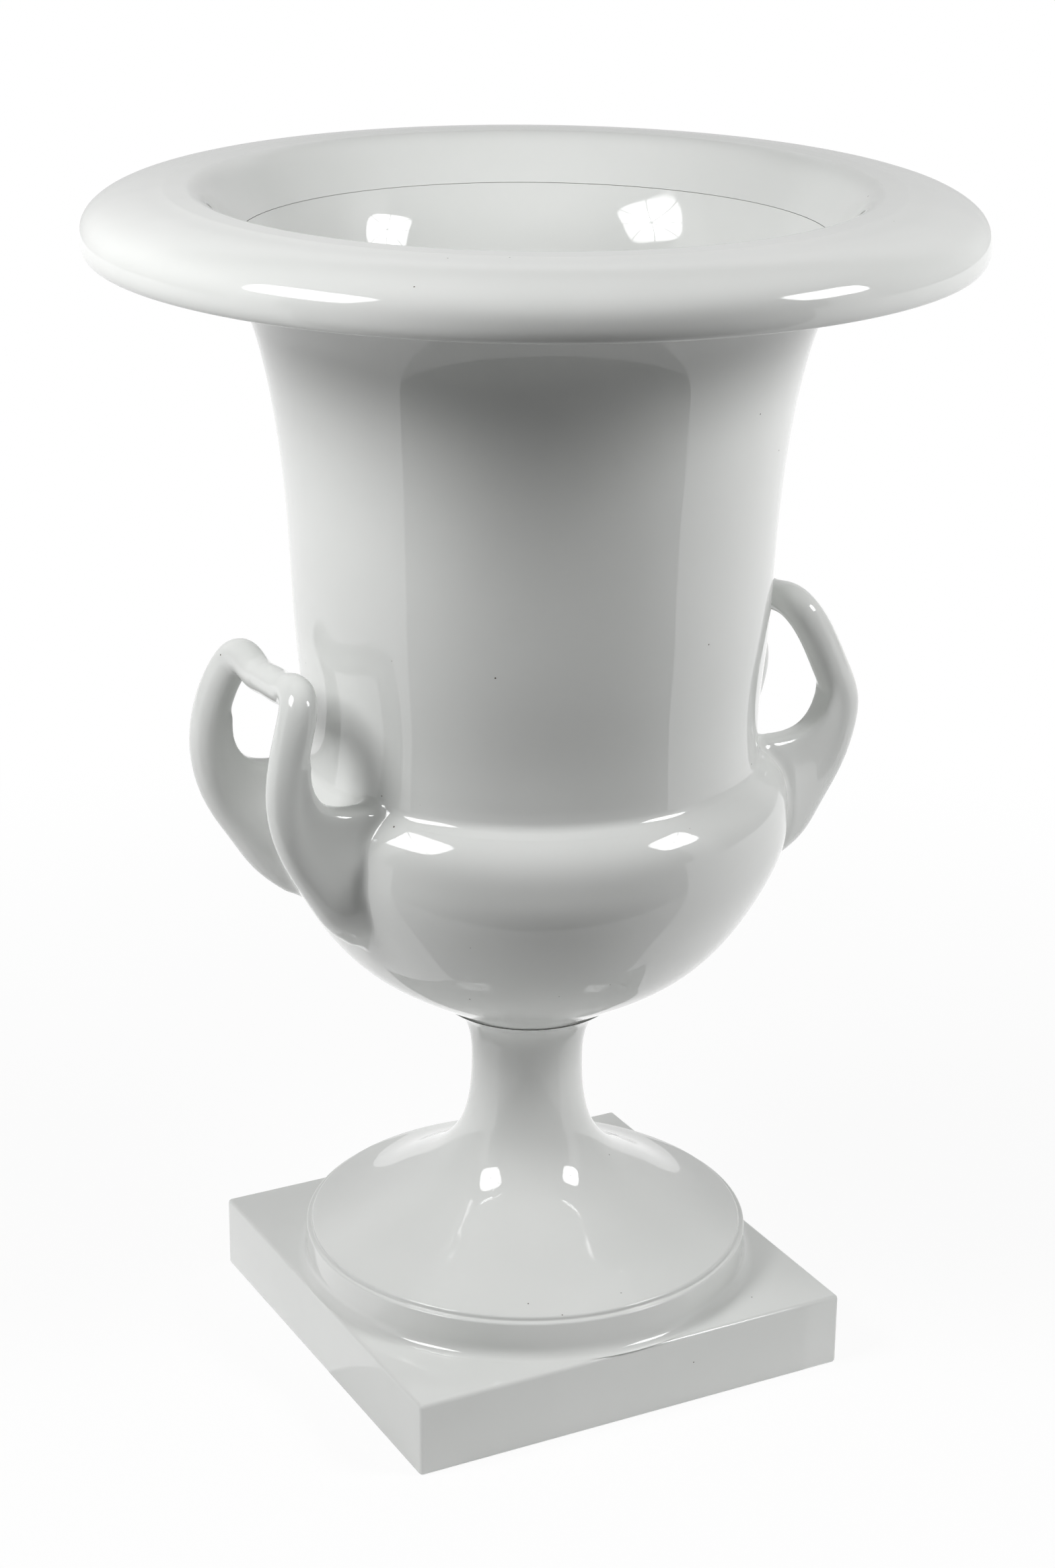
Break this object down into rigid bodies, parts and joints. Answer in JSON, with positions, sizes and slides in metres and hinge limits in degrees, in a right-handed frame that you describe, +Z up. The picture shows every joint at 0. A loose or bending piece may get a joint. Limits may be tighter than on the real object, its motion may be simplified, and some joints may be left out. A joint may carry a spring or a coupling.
{
  "type": "krater vase",
  "caption": "Campana krater vase in white glazed porcelain: flared neck with a rolled lip, round bowl with yoke loop handles, trumpet foot on a square plinth.",
  "frame": {"origin": "centre of the plinth's underside, on the surface that the vase stands on", "axes": "+Z up along the vase's axis; X through the two handles, handle_right on +X; Y along the plinth's other side, the picture taken from -Y"},
  "size_m": [0.357, 0.357, 0.5005],
  "materials": {
    "vase_glaze": "glossy cool white glaze",
    "handle_glaze": "glossy cool white glaze",
    "gasket_rubber": "matt black rubber",
    "bolt_brass": "satin brass",
    "bolt_steel": "zinc plated steel"
  },
  "bodies": {
    "root": {"plinth": "vase_glaze", "foot": "vase_glaze", "bowl": "vase_glaze", "neck": "vase_glaze", "lip": "vase_glaze", "handle_right": "handle_glaze", "handle_left": "handle_glaze", "seat_gasket": "gasket_rubber", "upper_gasket": "gasket_rubber", "lower_gasket": "gasket_rubber", "upper_washer": "bolt_brass", "dome_nut": "bolt_brass", "lower_washer": "bolt_steel", "clamp_nut": "bolt_steel", "lock_nut": "bolt_steel", "tie_rod": "bolt_steel"}
  },
  "joints": []
}
